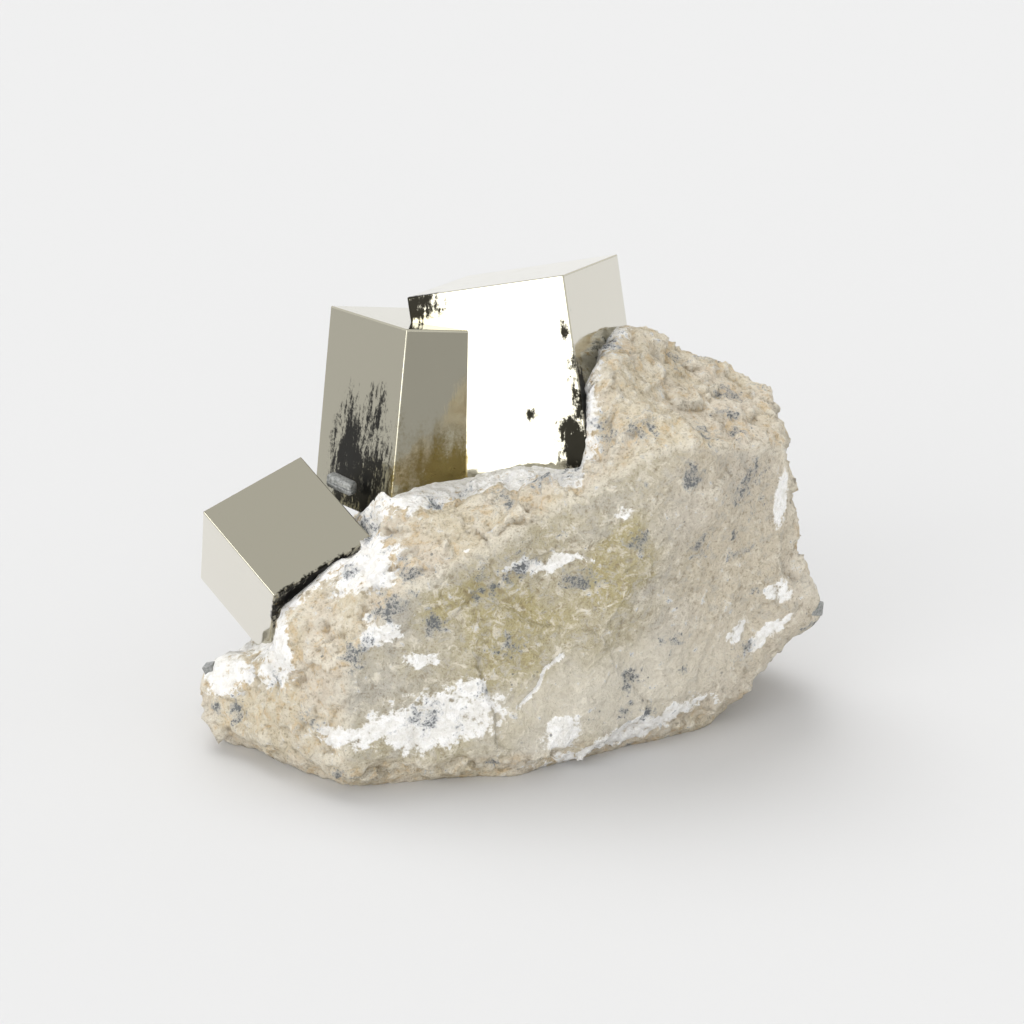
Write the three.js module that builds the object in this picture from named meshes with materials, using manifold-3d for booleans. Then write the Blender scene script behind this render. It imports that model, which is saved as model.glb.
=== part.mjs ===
// Pyrite specimen: sharp cubic crystals grown in a loose piece of pale marl.
// Millimetres, +Z up. X runs along the stone, and Y goes back from its broken front face.
import * as THREE from 'three';
import { mergeVertices } from 'three/addons/utils/BufferGeometryUtils.js';
import Module from 'manifold-3d';

const wasm = await Module();
wasm.setup();

// ---------------------------------------------------------------- driving dimensions

const SOCKET_GAP = 0.3;          // clearance between a crystal and its socket in the stone

// Each crystal hangs from its top front left corner. Its edges run right (width), back (depth)
// and down (height). turn, rise and roll are degrees about Z, then Y, then X.
const LEFT_CUBE = {
  corner: [-36.9, -4.4, 29.8], width: 19.1, depth: 19.1, height: 19.1,
  turn: 35.5, rise: -16.9, roll: 32.1, lean: 0,
};
const MIDDLE_BLOCK = {
  corner: [-16.3, 9.4, 68.7], width: 24.9, depth: 24.9, height: 31,
  turn: 30.8, rise: 9.7, roll: -5.3, lean: 0,
};
const BIG_CRYSTAL = {
  corner: [-16.6, 19.3, 71.0], width: 26.7, depth: 25.7, height: 36,
  turn: -19.5, rise: -13.1, roll: -7.0, lean: 1.7,
};
const SMALL_TABLET = {
  corner: [-29.3, 15.0, 42.7], width: 4.6, depth: 1.3, height: 1.6,
  turn: -38, rise: 9, roll: 4, lean: 0,
};
const RIGHT_EDGE_CUBE = {
  corner: [49.0, 16.2, 20.6], width: 2.2, depth: 2.2, height: 2.2,
  turn: 32, rise: 14, roll: -10, lean: 0,
};
const LEFT_EDGE_CUBE = {
  corner: [-49.9, 5.6, 13.4], width: 2, depth: 2, height: 2,
  turn: -24, rise: -18, roll: 12, lean: 0,
};

// The stone.
const LEDGE_HEIGHT = 43.2;        // the shelf that the tall crystals stand in
const LEDGE_RISE = 0.3;          // how fast the shelf climbs to the right of LEDGE_RISE_FROM
const LEDGE_RISE_FROM = -8;
const HUMP_HEIGHT = 64.5;         // crest of the shoulder behind and right of the big crystal
const HUMP_CREST = [17, 24];     // where that crest lies
const HUMP_FALL = [0.44, 0.3];   // how fast it falls to the right and to the front
const STEP_FOOT = [10.2, 6];     // the bank between shelf and shoulder starts here
const STEP_TURN = 76;            // and runs back at this angle from X
const STEP_WIDTH = 1.8;
const STEP_FRONT = 11.4;         // the bank stays to the right of this
const EDGE_ROUNDING = 1.0;       // how softly two broken faces meet
const STONE_CENTRE = new THREE.Vector3(7, 18, 26);
const STONE_REACH = 80;          // farther than any point of the stone from its centre
const STONE_DETAIL = 17;         // divisions of each side of the icosahedron it is shaped from

// Broken faces of the stone: the way each one looks out, and a point that it passes through.
const FRACTURES = [
  { name: 'main front', out: [0.19, -0.98, 0.06], through: [-7, -11.6, 2] },
  { name: 'front right', out: [0.56, -0.82, -0.09], through: [20, 0, 2] },
  { name: 'front left lobe', out: [-0.65, -0.75, 0.11], through: [-38, -4.7, 10] },
  { name: 'upper left lobe', out: [-0.54, -0.66, 0.53], through: [-24, -13.6, 24] },
  { name: 'slope before the shelf', out: [-0.27, -0.57, 0.78], through: [-18.6, 5.3, 44.8] },
  { name: 'left slope', out: [-0.77, -0.28, 0.58], through: [-38.6, 2.4, 21] },
  { name: 'left end', out: [-0.75, 0.24, 0.62], through: [-42.6, 5, 18] },
  { name: 'left undercut', out: [-0.88, 0, -0.48], through: [-51.4, 8, 11] },
  { name: 'right end', out: [0.98, 0.1, 0.15], through: [45.2, 18, 40] },
  { name: 'right undercut', out: [0.72, -0.1, -0.69], through: [49.5, 18, 18] },
  { name: 'right shoulder', out: [0.62, -0.1, 0.78], through: [43.5, 18, 56] },
  { name: 'back', out: [0.08, 0.97, 0.22], through: [0, 50, 22] },
  { name: 'back left', out: [-0.66, 0.72, 0.2], through: [-36, 38, 22] },
  { name: 'back right', out: [0.7, 0.68, 0.2], through: [38, 40, 26] },
  { name: 'back undercut', out: [-0.1, 0.8, -0.59], through: [0, 49, 12] },
  { name: 'top back', out: [0.24, 0.44, 0.86], through: [20, 27, 62] },
  { name: 'front undercut', out: [0.12, -0.76, -0.64], through: [-12, -12.2, 5] },
  { name: 'front left undercut', out: [-0.5, -0.6, -0.62], through: [-36, -6.6, 5] },
  { name: 'front right undercut', out: [0.45, -0.6, -0.66], through: [26, 3.6, 6] },
];

// Local hollows (negative height) and swellings: place, radius and height.
const BUMPS = [
  { name: 'hollow by the left cube', at: [-23, 4.2, 36], radius: 4.2, height: -6.5 },
  { name: 'bank under the left cube', at: [-33.5, -3, 27], radius: 4.5, height: 3.5 },
  { name: 'shelf between the crystals', at: [-31, 20, 40], radius: 7, height: 3 },
  { name: 'hollow before the big crystal', at: [11.5, 2.5, 52], radius: 4.5, height: -4 },
  { name: 'hollow under the left cube', at: [-41, 5, 20], radius: 7, height: -3 },
  { name: 'rim beside the big crystal', at: [13.5, 10.5, 61], radius: 4.5, height: 4 },
  { name: 'peak behind the big crystal', at: [19, 27, 62], radius: 5, height: 2.5 },
  { name: 'dip of the crest', at: [30, 24, 60], radius: 7, height: -2.6 },
  { name: 'hollow of the right end', at: [47, 16, 41], radius: 8, height: -1.2 },
  { name: 'left tip', at: [-48, 7, 13], radius: 4.2, height: 2.8 },
  { name: 'right tip', at: [49, 17, 20], radius: 6, height: 1.6 },
  { name: 'swelling of the left lobe', at: [-30, -10, 14], radius: 11, height: 1.6 },
  { name: 'hollow of the front face', at: [12, -6, 24], radius: 17, height: -1.4 },
];

// Roughness of the broken surface: size of its swells and how far they stand out.
const ROUGHNESS = [
  { size: 15, height: 1.1 },
  { size: 6, height: 0.7 },
];

// ---------------------------------------------------------------- materials

const finish = (color, roughness, metalness) => ({ color, roughness, metalness });
const PYRITE = finish(0xb9b29a, 0.22, 1);
const DULL_PYRITE = finish(0x6f7074, 0.45, 1);
const MARL = finish(0xc9bda3, 0.95, 0);

// ---------------------------------------------------------------- solids and meshes

function toSolid(geometry) {
  const bare = geometry.clone();
  bare.deleteAttribute('normal');
  bare.deleteAttribute('uv');
  const merged = mergeVertices(bare, 1e-4);
  return new wasm.Manifold(new wasm.Mesh({
    numProp: 3,
    vertProperties: new Float32Array(merged.attributes.position.array),
    triVerts: new Uint32Array(merged.index.array),
  }));
}

function toGeometry(solid) {
  const mesh = solid.getMesh();
  const geometry = new THREE.BufferGeometry();
  geometry.setAttribute('position', new THREE.BufferAttribute(mesh.vertProperties, 3));
  geometry.setIndex(new THREE.BufferAttribute(mesh.triVerts, 1));
  return geometry;
}

function toMesh(name, geometry, material) {
  const shaded = geometry.index ? geometry.toNonIndexed() : geometry;
  shaded.computeVertexNormals();
  const mesh = new THREE.Mesh(shaded, new THREE.MeshStandardMaterial(material));
  mesh.name = name;
  return mesh;
}

// ---------------------------------------------------------------- crystals

// A crystal's block, grown by margin on every side.
function crystalGeometry(crystal, margin = 0) {
  const { width, depth, height } = crystal;
  const block = new THREE.BoxGeometry(width + 2 * margin, depth + 2 * margin, height + 2 * margin);
  block.translate(width / 2, depth / 2, -height / 2);
  const lean = new THREE.Matrix4();
  lean.elements[8] = Math.tan(THREE.MathUtils.degToRad(crystal.lean));
  const angles = [crystal.roll, crystal.rise, crystal.turn].map(THREE.MathUtils.degToRad);
  const stand = new THREE.Matrix4().makeRotationFromEuler(new THREE.Euler(...angles, 'ZYX'));
  stand.setPosition(...crystal.corner);
  return block.applyMatrix4(lean).applyMatrix4(stand);
}

// ---------------------------------------------------------------- the stone

// A repeatable number from 0 to 1 for each point of a whole-number grid.
function gridValue(x, y, z) {
  let h = Math.imul(x, 374761393) ^ Math.imul(y, 668265263) ^ Math.imul(z, 1274126177);
  h = Math.imul(h ^ (h >>> 13), 1103515245);
  return ((h ^ (h >>> 16)) >>> 0) / 4294967295;
}

// Smooth noise from -1 to 1.
function noise(point) {
  const cell = point.clone().floor();
  const inside = point.clone().sub(cell);
  const fade = (t) => t * t * (3 - 2 * t);
  let sum = 0;
  for (const i of [0, 1]) {
    for (const j of [0, 1]) {
      for (const k of [0, 1]) {
        const weight = (i ? fade(inside.x) : 1 - fade(inside.x))
          * (j ? fade(inside.y) : 1 - fade(inside.y))
          * (k ? fade(inside.z) : 1 - fade(inside.z));
        sum += weight * gridValue(cell.x + i, cell.y + j, cell.z + k);
      }
    }
  }
  return 2 * sum - 1;
}

function smoothMax(a, b) {
  const blend = Math.max(EDGE_ROUNDING - Math.abs(a - b), 0) / EDGE_ROUNDING;
  return Math.max(a, b) + blend * blend * EDGE_ROUNDING / 4;
}

// Height of the shelf on the left and of the shoulder on the right of the big crystal.
function topHeight(x, y) {
  const shelf = LEDGE_HEIGHT + LEDGE_RISE * Math.max(0, x - LEDGE_RISE_FROM);
  const shoulder = HUMP_HEIGHT - HUMP_FALL[0] * Math.max(0, x - HUMP_CREST[0])
    - HUMP_FALL[1] * Math.max(0, HUMP_CREST[1] - y);
  const run = THREE.MathUtils.degToRad(STEP_TURN);
  const beyond = (x - STEP_FOOT[0]) * Math.sin(run) - (y - STEP_FOOT[1]) * Math.cos(run);
  const share = THREE.MathUtils.smoothstep(Math.min(beyond, x - STEP_FRONT), 1 - STEP_WIDTH, 1);
  return THREE.MathUtils.lerp(shelf, shoulder, share);
}

// Below zero inside the stone, and roughly the distance from its surface.
function stoneField(point) {
  let field = point.z - topHeight(point.x, point.y);
  for (const { out, through } of FRACTURES) {
    const normal = new THREE.Vector3(...out).normalize();
    field = smoothMax(field, point.clone().sub(new THREE.Vector3(...through)).dot(normal));
  }
  for (const { at, radius, height } of BUMPS) {
    const away = point.distanceTo(new THREE.Vector3(...at)) / radius;
    field -= height * Math.exp(-away * away);
  }
  for (const { size, height } of ROUGHNESS) {
    field -= height * noise(point.clone().divideScalar(size));
  }
  return field;
}

// The stone reaches from its centre out to where the field turns positive.
function stoneGeometry() {
  const ball = new THREE.IcosahedronGeometry(1, STONE_DETAIL);
  const position = ball.attributes.position;
  const STEPS = 80;
  const HALVINGS = 14;
  for (let i = 0; i < position.count; i += 1) {
    const way = new THREE.Vector3().fromBufferAttribute(position, i).normalize();
    const reach = (r) => STONE_CENTRE.clone().addScaledVector(way, r);
    let near = 0;
    while (near < STONE_REACH && stoneField(reach(near + STONE_REACH / STEPS)) < 0) {
      near += STONE_REACH / STEPS;
    }
    let far = near + STONE_REACH / STEPS;
    for (let k = 0; k < HALVINGS; k += 1) {
      const middle = (near + far) / 2;
      if (stoneField(reach(middle)) < 0) near = middle;
      else far = middle;
    }
    const { x, y, z } = reach((near + far) / 2);
    position.setXYZ(i, x, y, z);
  }
  return ball;
}

// The stone is sawn flat at z = 0, and each crystal sits in a socket that fits it.
function matrixGeometry(crystals) {
  const above = new THREE.BoxGeometry(4 * STONE_REACH, 4 * STONE_REACH, 2 * STONE_REACH);
  above.translate(0, 0, STONE_REACH);
  let stone = toSolid(stoneGeometry()).intersect(toSolid(above));
  for (const crystal of crystals) {
    stone = stone.subtract(toSolid(crystalGeometry(crystal, SOCKET_GAP)));
  }
  return toGeometry(stone);
}

// ---------------------------------------------------------------- the specimen

const tallPair = toGeometry(
  toSolid(crystalGeometry(MIDDLE_BLOCK)).add(toSolid(crystalGeometry(BIG_CRYSTAL))),
);
const bedded = [
  LEFT_CUBE, MIDDLE_BLOCK, BIG_CRYSTAL, SMALL_TABLET, RIGHT_EDGE_CUBE, LEFT_EDGE_CUBE,
];

const specimen = new THREE.Group();
specimen.add(
  toMesh('matrix', matrixGeometry(bedded), MARL),
  toMesh('left_cube', crystalGeometry(LEFT_CUBE), PYRITE),
  toMesh('twin_crystals', tallPair, PYRITE),
  toMesh('small_tablet', crystalGeometry(SMALL_TABLET), DULL_PYRITE),
  toMesh('right_edge_cube', crystalGeometry(RIGHT_EDGE_CUBE), DULL_PYRITE),
  toMesh('left_edge_cube', crystalGeometry(LEFT_EDGE_CUBE), DULL_PYRITE),
);

// The origin is on the base, under the middle of the whole specimen.
const middle = new THREE.Box3().setFromObject(specimen).getCenter(new THREE.Vector3());
specimen.position.set(-middle.x, -middle.y, 0);

export default specimen;
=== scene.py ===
"""Looks of a pyrite specimen: bright cubic crystals grown in a loose piece of pale marl.

Shapes are worked out in millimetres in the stone's own frame, in which the crystals hang from
their top front left corners, and are carried into the row frame, in metres, at the end.
"""
import math

import bmesh
import bpy
import numpy as np
from mathutils import Euler, Matrix, Vector


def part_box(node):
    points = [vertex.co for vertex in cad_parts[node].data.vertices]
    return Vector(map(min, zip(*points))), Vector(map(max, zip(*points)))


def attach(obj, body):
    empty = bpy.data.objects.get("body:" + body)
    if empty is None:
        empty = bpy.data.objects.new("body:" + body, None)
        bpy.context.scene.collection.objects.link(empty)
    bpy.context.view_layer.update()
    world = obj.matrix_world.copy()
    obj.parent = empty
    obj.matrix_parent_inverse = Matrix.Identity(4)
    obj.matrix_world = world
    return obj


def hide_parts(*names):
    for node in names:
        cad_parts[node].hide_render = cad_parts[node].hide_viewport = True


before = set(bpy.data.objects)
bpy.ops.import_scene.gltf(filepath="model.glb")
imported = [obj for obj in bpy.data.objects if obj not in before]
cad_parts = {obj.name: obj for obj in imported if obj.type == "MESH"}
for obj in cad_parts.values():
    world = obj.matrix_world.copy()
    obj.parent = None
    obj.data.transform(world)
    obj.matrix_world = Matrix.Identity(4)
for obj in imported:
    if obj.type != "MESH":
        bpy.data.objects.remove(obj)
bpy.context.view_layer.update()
scene = bpy.context.scene

MM = 0.001

# ---------------------------------------------------------------- crystals: sizes and places

# corner is the top front left corner; turn, rise and roll are degrees about Z, Y and X.
CRYSTALS = {
    "left_cube": dict(corner=(-36.9, -4.4, 29.8), size=(19.1, 19.1, 19.1),
                      turn=35.5, rise=-16.9, roll=32.1, lean=0),
    "middle_block": dict(corner=(-16.3, 9.4, 68.7), size=(24.9, 24.9, 31),
                         turn=30.8, rise=9.7, roll=-5.3, lean=0),
    "big_crystal": dict(corner=(-16.6, 19.3, 71.0), size=(26.7, 25.7, 36),
                        turn=-19.5, rise=-13.1, roll=-7.0, lean=1.7),
    "small_tablet": dict(corner=(-29.3, 15.0, 42.7), size=(4.6, 1.3, 1.6),
                         turn=-38, rise=9, roll=4, lean=0),
    "right_edge_cube": dict(corner=(49.0, 16.2, 20.6), size=(2.2, 2.2, 2.2),
                            turn=32, rise=14, roll=-10, lean=0),
    "left_edge_cube": dict(corner=(-49.9, 5.6, 13.4), size=(2, 2, 2),
                           turn=-24, rise=-18, roll=12, lean=0),
}
LARGE_CRYSTALS = ("left_cube", "middle_block", "big_crystal")


def crystal_matrix(name):
    """Carries a crystal's own frame (x right, y back, z up from its top corner) to the stone's."""
    crystal = CRYSTALS[name]
    angles = [math.radians(crystal[key]) for key in ("roll", "rise", "turn")]
    lean = Matrix.Identity(4)
    lean[0][2] = math.tan(math.radians(crystal["lean"]))
    turned = Euler(angles, "XYZ").to_matrix().to_4x4() @ lean
    return np.array(Matrix.Translation(crystal["corner"]) @ turned)


def to_stone(name, points):
    matrix = crystal_matrix(name)
    return points @ matrix[:3, :3].T + matrix[:3, 3]


def from_stone(name, points):
    matrix = np.linalg.inv(crystal_matrix(name))
    return points @ matrix[:3, :3].T + matrix[:3, 3]


def box_corners(name):
    width, depth, height = CRYSTALS[name]["size"]
    ends = [(x, y, z) for x in (0, width) for y in (0, depth) for z in (-height, 0)]
    return to_stone(name, np.array(ends, float))


def box_distance(points, name):
    """Distance from a crystal's block, 0 inside it."""
    local = from_stone(name, points)
    width, depth, height = CRYSTALS[name]["size"]
    low, high = np.array([0, 0, -height]), np.array([width, depth, 0])
    outside = np.maximum(np.maximum(low - local, local - high), 0)
    return np.linalg.norm(outside, axis=1)


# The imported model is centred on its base, so the left cube tells where the stone's frame went.
cube_low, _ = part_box("left_cube")
cube_corners = box_corners("left_cube")
SHIFT = np.array([cube_low.x / MM - cube_corners[:, 0].min(),
                  cube_low.y / MM - cube_corners[:, 1].min(), 0.0])


def to_row(points):
    return (np.asarray(points, float) + SHIFT) * MM


# ---------------------------------------------------------------- noise

def smooth_step(low, high, value):
    t = np.clip((value - low) / (high - low), 0, 1)
    return t * t * (3 - 2 * t)


def grid_value(x, y, z):
    """A repeatable number from 0 to 1 for each point of a whole-number grid."""
    x, y, z = (v.astype(np.int64).astype(np.uint32) for v in (x, y, z))
    h = (x * np.uint32(374761393)) ^ (y * np.uint32(668265263)) ^ (z * np.uint32(1274126177))
    h = (h ^ (h >> np.uint32(13))) * np.uint32(1103515245)
    return (h ^ (h >> np.uint32(16))).astype(np.float64) / 4294967295


def grid_draws(home, strides, rounds):
    """Several repeatable numbers for each grid point, a column for each round."""
    return np.stack([grid_value(*(home + np.multiply(strides, a)).T) for a in rounds], 1)


def swell(points):
    """Smooth noise from -1 to 1, the same as the CAD stone's."""
    cell = np.floor(points)
    part = points - cell
    fade = part * part * (3 - 2 * part)
    total = np.zeros(len(points))
    for i in (0, 1):
        for j in (0, 1):
            for k in (0, 1):
                share = np.prod(np.abs([1 - i, 1 - j, 1 - k] - fade), axis=1)
                total += share * grid_value(cell[:, 0] + i, cell[:, 1] + j, cell[:, 2] + k)
    return 2 * total - 1


def fractal(points, size, octaves, seed=0.0):
    """Fractal noise, about -1 to 1, whose largest swells are size mm across."""
    total = np.zeros(len(points))
    share = 1.0
    for octave in range(octaves):
        shifted = points * (2.03 ** octave / size) + (seed + 17.3 * octave, 9.1 * octave, seed)
        total += share * swell(shifted)
        share *= 0.55
    return total


def chips(points, size, seed):
    """Height of a hackly surface: every cell of size mm is a small plane with a tilt of its own."""
    spot = points / size + seed
    cell = np.floor(spot)
    nearest = np.full(len(points), 1e9)
    height = np.zeros(len(points))
    for i in (-1, 0, 1):
        for j in (-1, 0, 1):
            for k in (-1, 0, 1):
                home = cell + (i, j, k)
                jitter = grid_draws(home, (31, 57, 83), (1, 2, 3))
                tilt = grid_draws(home, (29, 71, 13), (4, 5, 6)) - 0.5
                away = spot - home - jitter
                distance = (away ** 2).sum(1)
                closer = distance < nearest
                nearest = np.where(closer, distance, nearest)
                height = np.where(closer, (away * tilt).sum(1) * 2 + tilt[:, 0] * 0.6, height)
    return height


def blots(points, spacing, radius, share, seed):
    """1 in spots about radius mm in reach. That share of the cells of spacing mm holds one."""
    spot = points / spacing + seed
    cell = np.floor(spot)
    value = np.zeros(len(points))
    for i in (-1, 0, 1):
        for j in (-1, 0, 1):
            for k in (-1, 0, 1):
                home = cell + (i, j, k)
                draws = grid_draws(home, (37, 61, 23), (1, 2, 3, 4, 5))
                away = np.linalg.norm(spot - home - draws[:, :3], axis=1) * spacing
                reach = radius * (0.55 + 0.9 * draws[:, 3])
                inside = 1 - smooth_step(0, 1.8, away / reach)
                value = np.maximum(value, np.where(draws[:, 4] < share, inside, 0))
    return value


# ---------------------------------------------------------------- the stone's broad shape

LEDGE_HEIGHT = 43.2
LEDGE_RISE = 0.3
LEDGE_RISE_FROM = -8
HUMP_HEIGHT = 64.5
HUMP_CREST = (17, 24)
HUMP_FALL = (0.44, 0.3)
STEP_FOOT = (10.2, 6)
STEP_TURN = 76
STEP_WIDTH = 1.8
STEP_FRONT = 11.4
EDGE_ROUNDING = 1.0
STONE_CENTRE = np.array([7, 18, 26.0])

# Broken faces: the way each looks out, a point that it passes through, and how rough it is.
FRACTURES = {
    "main front": ((0.19, -0.98, 0.06), (-7, -11.6, 2), 0.3),
    "front right": ((0.56, -0.82, -0.09), (20, 0, 2), 0.35),
    "front left lobe": ((-0.65, -0.75, 0.11), (-38, -4.7, 10), 1.0),
    "upper left lobe": ((-0.54, -0.66, 0.53), (-24, -13.6, 24), 0.9),
    "slope before the shelf": ((-0.27, -0.57, 0.78), (-18.6, 5.3, 44.8), 0.8),
    "left slope": ((-0.77, -0.28, 0.58), (-38.6, 2.4, 21), 1.0),
    "left end": ((-0.75, 0.24, 0.62), (-42.6, 5, 18), 1.0),
    "left undercut": ((-0.88, 0, -0.48), (-51.4, 8, 11), 1.0),
    "right end": ((0.98, 0.1, 0.15), (45.2, 18, 40), 1.0),
    "right undercut": ((0.72, -0.1, -0.69), (49.5, 18, 18), 0.8),
    "right shoulder": ((0.62, -0.1, 0.78), (43.5, 18, 56), 1.0),
    "back": ((0.08, 0.97, 0.22), (0, 50, 22), 0.6),
    "back left": ((-0.66, 0.72, 0.2), (-36, 38, 22), 1.0),
    "back right": ((0.7, 0.68, 0.2), (38, 40, 26), 0.8),
    "back undercut": ((-0.1, 0.8, -0.59), (0, 49, 12), 1.0),
    "top back": ((0.24, 0.44, 0.86), (20, 27, 62), 1.0),
    "front undercut": ((0.12, -0.76, -0.64), (-12, -12.2, 5), 1.0),
    "front left undercut": ((-0.5, -0.6, -0.62), (-36, -6.6, 5), 1.0),
    "front right undercut": ((0.45, -0.6, -0.66), (26, 3.6, 6), 0.8),
}
TOP_ROUGHNESS = 1.0

# Local hollows (negative height) and swellings: place, radius and height.
BUMPS = {
    "hollow by the left cube": ((-23, 4.2, 36), 4.2, -6.5),
    "bank under the left cube": ((-33.5, -3, 27), 4.5, 3.5),
    "shelf between the crystals": ((-31, 20, 40), 7, 3),
    "hollow before the big crystal": ((11.5, 2.5, 52), 4.5, -4),
    "hollow under the left cube": ((-41, 5, 20), 7, -3),
    "rim beside the big crystal": ((13.5, 10.5, 61), 4.5, 4),
    "peak behind the big crystal": ((19, 27, 62), 5, 2.5),
    "dip of the crest": ((30, 24, 60), 7, -2.6),
    "hollow of the right end": ((47, 16, 41), 8, -1.2),
    "left tip": ((-48, 7, 13), 4.2, 2.8),
    "right tip": ((49, 17, 20), 6, 1.6),
    "swelling of the left lobe": ((-30, -10, 14), 11, 1.6),
    "hollow of the front face": ((12, -6, 24), 17, -1.4),
}
SWELLS = ((15, 1.1), (6, 0.7))


def top_height(x, y):
    shelf = LEDGE_HEIGHT + LEDGE_RISE * np.maximum(0, x - LEDGE_RISE_FROM)
    shoulder = (HUMP_HEIGHT - HUMP_FALL[0] * np.maximum(0, x - HUMP_CREST[0])
                - HUMP_FALL[1] * np.maximum(0, HUMP_CREST[1] - y))
    run = math.radians(STEP_TURN)
    beyond = (x - STEP_FOOT[0]) * math.sin(run) - (y - STEP_FOOT[1]) * math.cos(run)
    share = smooth_step(1 - STEP_WIDTH, 1, np.minimum(beyond, x - STEP_FRONT))
    return shelf + (shoulder - shelf) * share


def smooth_max(a, b):
    blend = np.maximum(EDGE_ROUNDING - np.abs(a - b), 0) / EDGE_ROUNDING
    return np.maximum(a, b) + blend * blend * EDGE_ROUNDING / 4


def stone_field(points):
    """Below zero inside the stone, and roughly the distance from its surface."""
    field = points[:, 2] - top_height(points[:, 0], points[:, 1])
    for out, through, _ in FRACTURES.values():
        normal = np.array(out) / np.linalg.norm(out)
        field = smooth_max(field, (points - through) @ normal)
    for at, radius, height in BUMPS.values():
        away = ((points - at) ** 2).sum(1) / radius ** 2
        field -= height * np.exp(-away)
    for size, height in SWELLS:
        field -= height * swell(points / size)
    return np.maximum(field, -points[:, 2])


def face_roughness(points):
    """How rough the broken face under each point is, and how near it is to a worn arris."""
    level = [points[:, 2] - top_height(points[:, 0], points[:, 1])]
    rough = [TOP_ROUGHNESS]
    ways = [(0, 0, 1)]
    for out, through, roughness in FRACTURES.values():
        normal = np.array(out) / np.linalg.norm(out)
        level.append((points - through) @ normal)
        rough.append(roughness)
        ways.append(normal)
    level = np.array(level)
    ways = np.array(ways)
    share = np.exp((level - level.max(0)) / 0.6)
    order = np.argsort(level, axis=0)
    top, next_down = (np.take_along_axis(level, order[[k]], 0)[0] for k in (-1, -2))
    gap = top - next_down
    corner = 1 - (ways[order[-1]] * ways[order[-2]]).sum(1)
    gap = gap + 0.7 * fractal(points, 3, 3, 61.0)
    worn = (1 - smooth_step(0.2, 1.9, gap)) * smooth_step(0.25, 0.5, corner)
    return (share * np.array(rough)[:, None]).sum(0) / share.sum(0), worn


# ---------------------------------------------------------------- mesh helpers

def geodesic_ball(frequency):
    """Directions and triangles of an icosahedron whose faces are cut frequency times a side."""
    seed = bmesh.new()
    bmesh.ops.create_icosphere(seed, subdivisions=1, radius=1)
    corners = np.array([v.co for v in seed.verts])
    faces = [[v.index for v in f.verts] for f in seed.faces]
    seed.free()
    rows = [(i, j) for i in range(frequency + 1) for j in range(frequency + 1 - i)]
    place = {ij: n for n, ij in enumerate(rows)}
    weight = np.array([(frequency - i - j, i, j) for i, j in rows], float) / frequency
    small = []
    for i, j in rows:
        if i + j < frequency:
            small.append((place[i, j], place[i + 1, j], place[i, j + 1]))
        if i + j < frequency - 1:
            small.append((place[i + 1, j], place[i + 1, j + 1], place[i, j + 1]))
    small = np.array(small)
    points = np.concatenate([weight @ corners[face] for face in faces])
    triangles = np.concatenate([small + n * len(rows) for n in range(len(faces))])
    points /= np.linalg.norm(points, axis=1, keepdims=True)
    _, first, home = np.unique(np.round(points, 6), axis=0, return_index=True, return_inverse=True)
    return points[first], home.ravel()[triangles]


def vertex_normals(points, triangles):
    a, b, c = (points[triangles[:, k]] for k in range(3))
    across = np.cross(b - a, c - a)
    total = np.zeros_like(points)
    for k in range(3):
        np.add.at(total, triangles[:, k], across)
    return total / np.maximum(np.linalg.norm(total, axis=1, keepdims=True), 1e-12)


def neighbour_mean(values, triangles):
    """Mean of the values at each vertex's neighbours."""
    total = np.zeros_like(values)
    number = np.zeros(len(values))
    for a, b in ((0, 1), (1, 2), (2, 0)):
        for start, end in ((a, b), (b, a)):
            np.add.at(total, triangles[:, start], values[triangles[:, end]])
            np.add.at(number, triangles[:, start], 1)
    return total / number[:, None]


def make_mesh(name, points, faces, material):
    mesh = bpy.data.meshes.new(name)
    mesh.from_pydata(to_row(points).tolist(), [], [list(map(int, f)) for f in faces])
    mesh.materials.append(material)
    mesh.polygons.foreach_set("use_smooth", [True] * len(mesh.polygons))
    mesh.update()
    piece = bpy.data.objects.new(name, mesh)
    scene.collection.objects.link(piece)
    return piece


def paint(piece, name, values):
    layer = piece.data.attributes.new(name, "FLOAT", "POINT")
    layer.data.foreach_set("value", np.asarray(values, np.float32))


# ---------------------------------------------------------------- marks on the stone

# Soft ellipses on the front: middle across and up from the base, half length, half height, slant.
CHALK_MARKS = {
    "broad patch low on the left": (-12.5, 11.6, 9, 3.4, 6),
    "its tail": (-24, 10, 5, 1.4, 5),
    "strip along the lower right edge": (18, 4, 12, 1.8, 12),
    "round spot low in the middle": (8, 8, 2.2, 1.8, 0),
    "row of spots under the ridge": (6, 36, 5, 1.3, 8),
    "streak on the left lobe": (-20, 26, 4, 1.6, 30),
    "spot beside the grey facet": (-14, 22, 1.8, 1.4, 0),
    "foot of the grey facet": (-7, 17, 1.6, 2.2, 0),
    "left tip": (-46, 13, 4, 2.4, 25),
    "below the left cube": (-37, 20, 2.6, 5, -20),
    "beside the left cube": (-23, 35, 5, 2.6, 25),
    "streak low on the right": (41, 17, 5, 0.9, 38),
    "right edge, high": (42.5, 40, 1.3, 3.5, -5),
    "right edge, middle": (43, 24, 1.3, 1.5, 20),
    "spot low on the right": (35.5, 17.5, 1.6, 1.2, -30),
}
STAIN_MARKS = {
    "olive middle": (0, 24, 8, 8, 0),
    "yellow patch under the ridge": (16, 33.5, 5, 6, -30),
    "left of the ridge's foot": (-9, 31, 6, 2.5, 15),
    "under the ridge on the right": (17, 40, 3.5, 2.2, 25),
}
# Painted light: the low front is lightened, standing in for light that the floor and the undercut
# keep off it.
PAINTED_LIGHT_MARKS = {
    "low on the front": (16, 13, 16, 6, 8),
}
CRACK_LINES = (
    ((1, 13), (4, 16), (5, 19), (8, 21)),
    ((-5, 32), (-8, 29), (-10, 28)),
)
CRACK_WIDTH = 0.45
CRACK_DEPTH = 0.6
CRACK_CHALK = 0.6
CRACKS_END_BACK = 12
MARKS_FADE_BACK = (14, 20)
MARK_BEND = 1.6
CHALK_RIM = 4.5
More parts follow.
